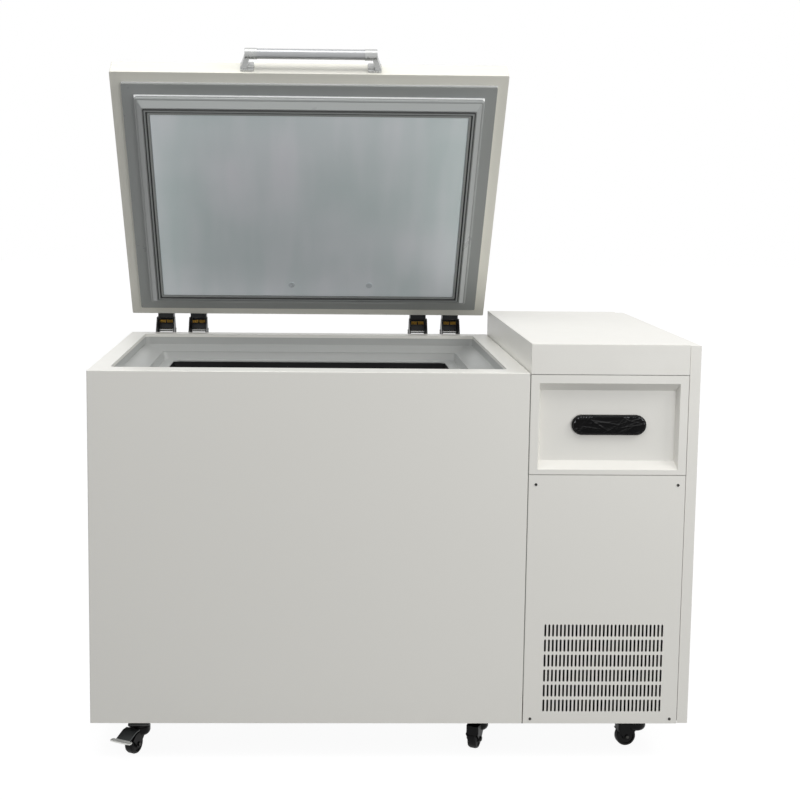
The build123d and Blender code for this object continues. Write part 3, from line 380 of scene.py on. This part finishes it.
insert_cap = finish_of("insert_cap", (244, 244, 242), 0.4, drift=0.05, drift_scale=40.0, grain=1400.0,
                       bump=0.12, depth=0.00006)
caster_tread = finish_of("caster_tread", (13, 13, 14), 0.48, drift=0.25, drift_scale=40.0, grain=1500.0,
                         bump=0.2, depth=0.0001, dust=0.04, reach=0.03, specular=0.14)
# Near-white trims on the plug's steps: painted highlights of the lit step edges, the outer one dimmer
trim_satin = finish_of("trim_satin", (250, 251, 251), 0.42, drift=0.04, drift_scale=9.0, grain=900.0,
                       bump=0.05, depth=0.00004, rough_swing=0.04)
edge_satin = finish_of("edge_satin", (206, 208, 208), 0.5, drift=0.04, drift_scale=9.0, grain=900.0,
                       bump=0.05, depth=0.00004, rough_swing=0.04)
seam_filler = finish_of("seam_filler", (150, 150, 146), 0.6, drift=0.1, drift_scale=20.0, grain=1200.0,
                        bump=0.1, depth=0.00005)
frame_paint = finish_of("frame_paint", (62, 63, 64), 0.5, drift=0.12, drift_scale=8.0, grain=900.0,
                        bump=0.2, depth=0.0001, wear=0.5, bare=(140, 138, 132), dust=0.3, reach=0.12)
zinc_sheet = finish_of("zinc_sheet", (172, 175, 176), 0.4, metal=0.9, drift=0.18, drift_scale=28.0,
                       grain=180.0, bump=0.08, depth=0.00006, rough_swing=0.12, dust=0.2, reach=0.12)
foam_cream = finish_of("foam_cream", (206, 186, 132), 0.9, drift=0.2, drift_scale=30.0, grain=1200.0,
                       bump=0.6, depth=0.0004)
copper_tube = finish_of("copper_tube", (196, 122, 82), 0.28, metal=1.0, drift=0.18, drift_scale=26.0,
                        grain=900.0, bump=0.1, depth=0.00005, rough_swing=0.12)
pot_black = finish_of("pot_black", (24, 24, 25), 0.32, drift=0.15, drift_scale=18.0, grain=900.0,
                      bump=0.2, depth=0.0001, wear=0.4, bare=(110, 108, 102), dust=0.25, reach=0.3)
foot_rubber = finish_of("foot_rubber", (30, 30, 30), 0.7, drift=0.2, drift_scale=40.0, grain=1500.0,
                        bump=0.3, depth=0.0001, dust=0.3, reach=0.15)
# Condenser fins near black: a black finish that also stands as painted shade behind the vent slots
fin_black = finish_of("fin_black", (20, 20, 21), 0.5, specular=0.2, drift=0.25, drift_scale=14.0,
                      grain=1200.0, stretch=(1, 1, 0.05), bump=0.1, depth=0.00005, dust=0.2, reach=0.4)
fan_plastic = finish_of("fan_plastic", (28, 28, 29), 0.45, drift=0.15, drift_scale=25.0, grain=1300.0,
                        bump=0.15, depth=0.00006, dust=0.35, reach=0.4)
motor_paint = finish_of("motor_paint", (46, 48, 50), 0.4, drift=0.15, drift_scale=30.0, grain=1000.0,
                        bump=0.2, depth=0.00008, wear=0.4)
foil_jacket = finish_of("foil_jacket", (190, 190, 188), 0.35, metal=0.9, drift=0.15, drift_scale=20.0,
                        grain=90.0, bump=0.5, depth=0.0006, rough_swing=0.12)
box_paint = finish_of("box_paint", (196, 194, 186), 0.45, drift=0.06, drift_scale=8.0, grain=700.0,
                      bump=0.15, depth=0.00008, wear=0.3)
inlet_plastic = finish_of("inlet_plastic", (24, 24, 25), 0.45, drift=0.15, drift_scale=40.0, grain=1500.0,
                          bump=0.2, depth=0.00006)


def film_finish():
    """Black film whose painted glints, held in a vertex attribute, turn its colour pale."""
    material = finish_of("film_gloss", (7, 7, 8), 0.12, drift=0.2, drift_scale=20.0, grain=600.0,
                         bump=0.04, depth=0.00004, rough_swing=0.03, specular=0.06)
    tree = material.node_tree
    shader = tree.nodes["Principled BSDF"]
    body = shader.inputs["Base Color"].links[0].from_socket
    crease = put(tree, "ShaderNodeAttribute", attribute_name="crease").outputs["Fac"]
    place = put(tree, "ShaderNodeTexCoord").outputs["Object"]
    broken = spread(tree, noise(tree, place, 420.0, 3.0, 0.6), 0.4, 0.62, 0.15, 1.0)
    painted_glint_share = sums(tree, "MULTIPLY", crease, broken, True)
    # Painted glints: the film's colour turns pale grey where the glint marks lie
    feed(tree, shader.inputs["Base Color"], blend_colour(tree, painted_glint_share, body, tint(206, 208, 212)))
    return material


def pedal_finish():
    """Dark sheet with a soft sheen, plated bright on the lip beyond a line across the pedal."""
    material = finish_of("pedal_steel_sheet", (70, 72, 72), 0.32, metal=0.55, drift=0.15, drift_scale=60.0,
                         grain=1400.0, bump=0.12, depth=0.00006, wear=0.3, bare=(120, 120, 118), specular=0.4)
    tree = material.node_tree
    shader = tree.nodes["Principled BSDF"]
    body = shader.inputs["Base Color"].links[0].from_socket
    axis = np.array(joints["brake_press"]["axis"], float)
    ahead = np.array([axis[1], -axis[0], 0.0])
    start = float(np.dot(joints["brake_press"]["pos_m"], ahead)) + LIP_START
    lip = use(tree, beyond_line, direction=tuple(ahead), start=start, soft=0.6 * MM)["Mask"]
    feed(tree, shader.inputs["Base Color"], blend_colour(tree, lip, body, tint(226, 226, 222)))
    return material


def gasket_crown_highlight():
    """Painted highlight: rubber coloured paler along the middle of the gasket, with the darker rubber left at
    its two edges as painted shade.
    """
    tree = gasket_rubber.node_tree
    shader = tree.nodes["Principled BSDF"]
    body = shader.inputs["Base Color"].links[0].from_socket
    middle = opened(0.0, 0.0, 0.0)
    along = opened(0.0, 1.0, 0.0) - middle
    inward = use(tree, sheet_margin, middle=tuple(middle), along=tuple(along), wide=LID_HALF_W,
                 long=LID_HALF_L)["Margin"]
    off = sums(tree, "ABSOLUTE", sums(tree, "SUBTRACT", inward, GASKET_MARGIN))
    crown_highlight = spread(tree, off, 1.5 * MM, 2.9 * MM, 1.0, 0.0)
    # Painted highlight: pale grey mixed into the rubber along the gasket's middle
    feed(tree, shader.inputs["Base Color"], blend_colour(tree, crown_highlight, body, tint(150, 153, 152)))


# The lid is laid out closed, from its middle and its underside, and turned open about the hinge pins
PIN_Y, PIN_Z = joints["lid_hinge"]["pos_m"][1:]
LID_TURN = math.radians(-joints["lid_hinge"]["range_deg"][0])
LID_HALF_W = 539 * MM
LID_HALF_L = 415.7 * MM
HINGE_TO_MIDDLE = 473.7 * MM
UNDERSIDE = 11.3 * MM
GASKET_MARGIN = 93 * MM


def opened(x, y, drop):
    """Place on the closed lid, from its middle and its underside, turned open about the hinge pins."""
    lid_low, lid_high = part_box("lid_shell")
    back = y - HINGE_TO_MIDDLE
    up = UNDERSIDE - drop
    turn_y = back * math.cos(LID_TURN) + up * math.sin(LID_TURN)
    turn_z = up * math.cos(LID_TURN) - back * math.sin(LID_TURN)
    return np.stack([(lid_low.x + lid_high.x) / 2 + x, PIN_Y + turn_y, PIN_Z + turn_z], axis=-1)


LIP_START = 35.5 * MM
gasket_crown_highlight()
film_gloss = film_finish()
pedal_sheet = pedal_finish()

# Which solids take which finish
FINISHES = {
    white_enamel: ("chest_wrap", "side_panel", "top_cover", "upper_panel", "vent_panel", "rear_panel"),
    lid_enamel: ("lid_shell",),
    zinc_sheet: ("chest_back_panel", "chest_bottom_pan", "bay_tray", "bay_frame", "fan_shroud"),
    foam_cream: ("chest_insulation", "lid_insulation"),
    tank_steel: ("storage_tank",),
    copper_tube: ("cooling_coil", "copper_pipes", "filter_drier"),
    collar_plastic: ("rim_collar", "throat_collar"),
    plug_satin: ("lid_plug_frame",),
    gasket_rubber: ("lid_gasket",),
    lid_liner: ("lid_inner_panel",),
    liner_cap: ("lid_foam_plugs",),
    polished_tube: ("handle_tube",),
    cast_silver: ("handle_brackets",),
    zinc_screw: ("hinge_base_screws", "hinge_leaf_screws"),
    insert_cap: ("handle_screws",),
    dark_screw: ("panel_screws",),
    hinge_black: ("hinge_bases", "hinge_leaves"),
    pin_steel: ("hinge_pins",),
    spring_gold: ("hinge_springs",),
    module_black: ("display_housing", "display_lens"),
    pot_black: ("compressor_high_stage", "compressor_low_stage"),
    foot_rubber: ("compressor_feet",),
    fin_black: ("condenser",),
    fan_plastic: ("fan_rotor",),
    motor_paint: ("fan_motor",),
    foil_jacket: ("heat_exchanger",),
    box_paint: ("control_box",),
    inlet_plastic: ("power_inlet",),
    frame_paint: ("base_frame",),
    pedal_sheet: ("brake_pedal",),
    caster_black: ("caster_mounts", *[name for name in nodes if name.startswith("caster_fork_")]),
    caster_tread: tuple(name for name in nodes if name.startswith("caster_wheel_")),
}
for material, names in FINISHES.items():
    for name in names:
        slots = nodes[name].data.materials
        slots.clear()
        slots.append(material)


# Mesh helpers
def sheet_faces(rows, columns, round_rows=False, round_columns=False):
    """Quads of a grid of points numbered row by row, joined up where a direction is closed."""
    r = np.arange(rows if round_rows else rows - 1)[:, None]
    c = np.arange(columns if round_columns else columns - 1)[None, :]
    r2 = (r + 1) % rows
    c2 = (c + 1) % columns
    quads = np.stack([r * columns + c, r * columns + c2, r2 * columns + c2, r2 * columns + c], axis=-1)
    return quads.reshape(-1, 4)


def build(name, patches, material, body, replaced=(), merge=1e-6, sharp=35.0, marks=None):
    """One mesh from patches of points and quads: doubles merged, normals outward, sharp corners crisp."""
    points = []
    faces = []
    count = 0
    for patch_points, patch_faces in patches:
        flat = np.asarray(patch_points, float).reshape(-1, 3)
        points.append(flat)
        faces.append(np.asarray(patch_faces) + count)
        count += len(flat)
    points = np.concatenate(points)
    faces = np.concatenate(faces)
    mesh = bpy.data.meshes.new(name)
    mesh.vertices.add(len(points))
    mesh.vertices.foreach_set("co", points.astype(np.float32).ravel())
    mesh.loops.add(faces.size)
    mesh.loops.foreach_set("vertex_index", faces.astype(np.int32).ravel())
    mesh.polygons.add(len(faces))
    mesh.polygons.foreach_set("loop_start", np.arange(0, faces.size, 4, dtype=np.int32))
    mesh.update(calc_edges=True)
    if marks:
        label, values = marks
        data = mesh.attributes.new(label, "FLOAT", "POINT").data
        data.foreach_set("value", values.astype(np.float32).ravel())
    work = bmesh.new()
    work.from_mesh(mesh)
    bmesh.ops.remove_doubles(work, verts=work.verts, dist=merge)
    bmesh.ops.dissolve_degenerate(work, edges=work.edges, dist=merge)
    bmesh.ops.recalc_face_normals(work, faces=work.faces)
    work.to_mesh(mesh)
    work.free()
    mesh.validate()
    mesh.shade_smooth()
    mesh.set_sharp_from_angle(angle=math.radians(sharp))
    mesh.materials.append(material)
    obj = bpy.data.objects.new(name, mesh)
    bpy.context.scene.collection.objects.link(obj)
    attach(obj, body)
    if replaced:
        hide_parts(*replaced)
    return obj


def capped(rings):
    """Rings of points, one row each, closed at both ends by a row drawn together at the ring's middle."""
    rings = np.asarray(rings, float)
    ends = np.repeat(rings[[0, -1]].mean(axis=1, keepdims=True), rings.shape[1], axis=1)
    rows = np.concatenate([ends[:1], rings, ends[1:]])
    return rows, sheet_faces(len(rows), rows.shape[1], round_columns=True)


def turned(profile, centre, axis, count=24):
    """Profile (r, h) turned about an axis: centre + h axis + r (cos t first + sin t second)."""
    profile = np.asarray(profile, float)
    axis = np.asarray(axis, float)
    helper = np.array([0.0, 0.0, 1.0]) if abs(axis[2]) < 0.9 else np.array([1.0, 0.0, 0.0])
    first = np.cross(axis, helper)
    first /= np.linalg.norm(first)
    second = np.cross(axis, first)
    t = np.linspace(0, 2 * np.pi, count, endpoint=False)
    r, h = profile[:, 0][:, None, None], profile[:, 1][:, None, None]
    ring = np.cos(t)[None, :, None] * first + np.sin(t)[None, :, None] * second
    return np.asarray(centre) + h * axis + r * ring, sheet_faces(len(profile), count, round_columns=True)


# Hinge springs: round wire wound on each leaf's cross rod, two coils side by side
pin_low, pin_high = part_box("hinge_pins")
hinge_mid = (pin_low.x + pin_high.x) / 2
HINGE_XS = [hinge_mid + offset for offset in (-0.4380, -0.3385, 0.3385, 0.4380)]
SPRING_Z = PIN_Z + 0.028
COIL_LENGTH = 0.0197
COIL_GAP = 0.0006
WIRE_R = 0.0009
COIL_R = 0.0041


def spring_coils():
    """Wire's line at angle t is (start + rise t, R cos t, R sin t), and a small circle follows it."""
    turns = 9.0
    t = np.linspace(0, 2 * np.pi * turns, int(turns * 22))
    around = np.linspace(0, 2 * np.pi, 9)[:-1]
    run = COIL_LENGTH - 2 * WIRE_R
    along = WIRE_R + run * t / t[-1]
    out = COIL_R + WIRE_R * np.cos(around)[None, :]
    x = along[:, None] + WIRE_R * np.sin(around)[None, :]
    y = out * np.cos(t)[:, None]
    z = out * np.sin(t)[:, None]
    patches = []
    for hinge_x in HINGE_XS:
        for side in (-1, 1):
            place = np.stack([hinge_x + side * (COIL_GAP + x), PIN_Y + y, SPRING_Z + z], axis=-1)
            patches.append(capped(place))
    return build("hinge_spring_coils", patches, spring_gold, "lid", ("hinge_springs",))


spring_coils()


# Trims round the two steps of the plug, coloured near white as a painted highlight on the lit step edges; the
# outer one greyer, a softer painted highlight
TRIM_CORNER = 2 * MM


def plug_highlight_trim(name, margin, wide, drop, tall, square, material):
    """Quarter of |m|^n + |d|^n = 1, closed at its inner corner and carried round the step's rectangle."""
    t = np.linspace(0, np.pi / 2, 15)
    bulge = 2 / square
    m = np.append(margin + wide * (1 - np.cos(t) ** bulge), margin + wide)[:, None]
    d = np.append(drop + tall * np.sin(t) ** bulge, drop)[:, None]
    corner = np.repeat(np.arange(4), 6) * np.pi / 2
    angle = corner + np.tile(np.linspace(0, np.pi / 2, 6), 4)
    middle = corner + np.pi / 4
    x = np.sign(np.cos(middle)) * (LID_HALF_W - m - TRIM_CORNER) + TRIM_CORNER * np.cos(angle)
    y = np.sign(np.sin(middle)) * (LID_HALF_L - m - TRIM_CORNER) + TRIM_CORNER * np.sin(angle)
    patch = (opened(x, y, d + 0 * x), sheet_faces(16, 24, True, True))
    return build(name, [patch], material, "lid")


plug_highlight_trim("plug_trim_outer", 29.6 * MM, 7 * MM, 0.2 * MM, 10.6 * MM, 2.3, edge_satin)
plug_highlight_trim("plug_trim_inner", 62.3 * MM, 13 * MM, 11.1 * MM, 17.4 * MM, 2.1, trim_satin)


# Display: a glossy film with creases over the black module, with painted glints along its top edge and round
# its ends
def display_film():
    """Stadium grid whose height is a sum of creases, each exp(-(off / wide)^2 - (run / long)^2)."""
    low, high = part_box("display_housing")
    middle = (low + high) / 2
    half_w = (high.x - low.x) / 2 - 3.4 * MM
    half_h = (high.z - low.z) / 2 - 3.4 * MM
    flat = half_w - half_h
    across = np.linspace(-1, 1, 400)[:, None]
    up = np.linspace(-1, 1, 120)[None, :]
    x = half_w * np.sin(across * np.pi / 2) + 0 * up
    bulge = np.clip((np.abs(x) - flat) / half_h, 0, 1)
    z = half_h * np.sqrt(np.maximum(1 - bulge ** 2, 0)) * up
    inside = half_h - np.hypot(np.maximum(np.abs(x) - flat, 0), z)
    fade = np.clip(inside / (2.2 * MM), 0, 1) ** 0.5
    chance = np.random.default_rng(31)
    height = np.zeros_like(x)
    painted_glint_share = np.zeros_like(x)
    for _ in range(34):
        cx = chance.uniform(-half_w, half_w)
        cz = chance.uniform(-half_h, half_h)
        lean = chance.normal(0.25, 0.55)
        wide = chance.uniform(0.8, 2.6) * MM
        long = chance.uniform(9, 34) * MM
        tall = chance.uniform(0.04, 0.17) * MM
        off = (z - cz) * math.cos(lean) - (x - cx) * math.sin(lean)
        run = (x - cx) * math.cos(lean) + (z - cz) * math.sin(lean)
        height += tall * np.exp(-(off / wide) ** 2 - (run / long) ** 2)
    # Painted glints: pale specks along the top edge and round the ends, kept as a vertex attribute that whitens
    # the film's colour
    for _ in range(54):
        turn = chance.uniform(0.06, 0.94) * np.pi
        end = 1 if turn < np.pi / 2 else -1
        slide = chance.uniform(0.35, 1) if chance.uniform() < 0.6 else 1.0
        cx = end * flat * slide + (half_h - 1.1 * MM) * math.cos(turn)
        cz = (half_h - 1.1 * MM) * (math.sin(turn) if slide == 1.0 else 1.0)
        lean = chance.normal(0.3, 0.8)
        wide = chance.uniform(0.35, 0.7) * MM
        long = chance.uniform(0.7, 2.6) * MM
        off = (z - cz) * math.cos(lean) - (x - cx) * math.sin(lean)
        run = (x - cx) * math.cos(lean) + (z - cz) * math.sin(lean)
        painted_glint_share += chance.uniform(0.25, 0.9) * np.exp(-(off / wide) ** 2 - (run / long) ** 2)
    y = low.y - fade * (0.35 * MM + height) + (1 - fade) * 0.5 * MM
    place = np.stack([middle.x + x, y, middle.z + z], axis=-1)
    return build("display_film", [(place, sheet_faces(400, 120))], film_gloss, "cabinet",
                 ("display_lens",), sharp=80.0, marks=("crease", np.clip(painted_glint_share, 0, 1)))


display_film()


# Panel screws: low round heads with a crossed recess
def panel_screw_heads():
    """Head height is 1 - 0.45 r^2.5, less two crossing slots near the middle."""
    low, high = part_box("panel_screws")
    size = 3.6 * MM
    tall = 1.6 * MM
    r = np.linspace(0, 1, 17)[:, None]
    t = np.linspace(0, 2 * np.pi, 48, endpoint=False)[None, :]
    x = r * np.cos(t)
    z = r * np.sin(t)
    slot = np.minimum(np.abs(x * 0.8 + z * 0.6), np.abs(z * 0.8 - x * 0.6))
    cut = np.clip((0.17 - slot) / 0.07, 0, 1) * np.clip((0.62 - r) / 0.1, 0, 1)
    height = 1 - 0.45 * r ** 2.5 - 0.6 * cut
    foot = np.stack([x[-1:], z[-1:], -0.1 + 0 * x[-1:]], axis=-1)
    head = np.concatenate([np.stack([x, z, height], axis=-1), foot])
    patches = []
    for place_x in (low.x + size, high.x - size):
        for place_z in (low.z + size, high.z - size):
            across = place_x + size * head[..., 0]
            up = place_z + size * head[..., 1]
            place = np.stack([across, high.y - tall * head[..., 2], up], axis=-1)
            patches.append((place, sheet_faces(18, 48, round_columns=True)))
    return build("panel_screw_heads", patches, dark_screw, "cabinet", ("panel_screws",))


panel_screw_heads()


# Casters: a domed cap on each end of the riveted axles
HEAD_END = 19.3 * MM


def axle_caps():
    """Dome of a profile turned about the axle, sunk slightly into the rivet head."""
    profile = np.array(
        [(0, 1.0), (1.4, 0.95), (2.7, 0.75), (3.6, 0.35), (3.9, 0.0), (3.9, -0.4), (0, -0.4)]
    ) * MM
    for name in joints:
        if not name.startswith("roll_"):
            continue
        centre = np.array(joints[name]["pos_m"])
        axis = np.array(joints[name]["axis"], float)
        patches = [turned(profile, centre + side * HEAD_END * axis, side * axis, 20) for side in (-1, 1)]
        build("axle_caps_" + name[5:], patches, dark_screw, "fork_" + name[5:])


axle_caps()


# Seam between the chest and the machine compartment: a filler bead set back from the faces
def seam_bead():
    """Closed profile of the bead in plan, drawn up the front seam and closed at both ends."""
    wrap_low, wrap_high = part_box("chest_wrap")
    cover_low, cover_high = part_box("top_cover")
    left, right = wrap_high.x, cover_low.x
    front = wrap_low.y + 1.2 * MM
    deep = 5 * MM
    middle = (left + right) / 2
    half = (right - left) / 2 - 0.02 * MM
    plan = np.array([(-1, 1), (-1, 0.1), (-0.6, 0.02), (0, 0.0), (0.6, 0.02), (1, 0.1), (1, 1)])
    z = np.linspace(cover_low.z - 822 * MM, wrap_high.z - 4 * MM, 5)[:, None]
    x = middle + half * plan[:, 0][None, :] + 0 * z
    y = front + deep * plan[:, 1][None, :] + 0 * z
    place = np.stack([x, y, z + 0 * x], axis=-1)
    return build("seam_bead", [capped(place)], seam_filler, "cabinet")


seam_bead()


# Floor, light and the white behind
FLOOR_LIT = (0.16, 0.16, 0.16, 1)
FLOOR_SEEN = (0.12, 0.12, 0.12, 1)
FLOOR_GLOW = 0.93


def seen_rays(tree):
    """One for the rays that see the white surroundings: from the camera, and mirrored or passed on."""
    path = put(tree, "ShaderNodeLightPath").outputs
    seen = sums(tree, "MAXIMUM", path["Is Camera Ray"], path["Is Glossy Ray"])
    return sums(tree, "MAXIMUM", seen, path["Is Transmission Ray"])


def studio_floor():
    """Pale floor that takes a soft shadow and otherwise shows as the white behind."""
    half = 20.0
    mesh = bpy.data.meshes.new("studio_floor")
    corners = [(-half, -half, 0), (half, -half, 0), (half, half, 0), (-half, half, 0)]
    mesh.from_pydata(corners, [], [(0, 1, 2, 3)])
    floor = bpy.data.objects.new("studio_floor", mesh)
    bpy.context.scene.collection.objects.link(floor)
    material = bpy.data.materials.new("pale_floor")
    material.use_nodes = True
    tree = material.node_tree
    shader = tree.nodes["Principled BSDF"]
    shader.inputs["Roughness"].default_value = 0.9
    shader.inputs["Specular IOR Level"].default_value = 0.1
    shader.inputs["Emission Color"].default_value = (1, 1, 1, 1)
    seen = seen_rays(tree)
    feed(tree, shader.inputs["Base Color"], blend_colour(tree, seen, FLOOR_LIT, FLOOR_SEEN))
    feed(tree, shader.inputs["Emission Strength"], sums(tree, "MULTIPLY", seen, FLOOR_GLOW))
    mesh.materials.append(material)


def studio_air(level):
    """Soft light from all round at a level, and plain white where it is seen."""
    world = bpy.data.worlds.new("studio_air")
    bpy.context.scene.world = world
    world.use_nodes = True
    tree = world.node_tree
    tree.nodes.clear()
    seen = seen_rays(tree)
    soft = put(tree, "ShaderNodeBackground")
    soft.inputs["Color"].default_value = (0.97, 0.985, 1.0, 1)
    soft.inputs["Strength"].default_value = level
    white = put(tree, "ShaderNodeBackground")
    white.inputs["Color"].default_value = (1, 1, 1, 1)
    white.inputs["Strength"].default_value = 1.0
    either = put(tree, "ShaderNodeMixShader")
    feed(tree, either.inputs[0], seen)
    feed(tree, either.inputs[1], soft.outputs[0])
    feed(tree, either.inputs[2], white.outputs[0])
    output = put(tree, "ShaderNodeOutputWorld")
    feed(tree, output.inputs["Surface"], either.outputs[0])


def soft_lamp(name, place, aim, width, height, power, colour):
    """Rectangular lamp at a place, turned to face an aim."""
    data = bpy.data.lights.new(name, "AREA")
    data.shape = "RECTANGLE"
    data.size = width
    data.size_y = height
    data.energy = power
    data.color = colour
    lamp = bpy.data.objects.new(name, data)
    turn = (Vector(aim) - Vector(place)).to_track_quat("-Z", "Y").to_matrix().to_4x4()
    lamp.matrix_world = Matrix.Translation(place) @ turn
    bpy.context.scene.collection.objects.link(lamp)


photo_camera()
studio_floor()
studio_air(0.55)
soft_lamp("key_softbox", (3.4, -1.6, 3.6), (0, 0, 0.6), 1.6, 1.4, 58, (1.0, 0.99, 0.96))
soft_lamp("top_softbox", (-0.7, -1.0, 3.9), (-0.3, 0, 0.6), 2.2, 1.6, 40, (1.0, 1.0, 0.99))
soft_lamp("front_card", (2.3, -4.5, 0.62), (0.3, -0.4, 0.62), 2.4, 0.7, 42, (1.0, 1.0, 0.99))

bpy.context.scene.view_settings.view_transform = "Standard"
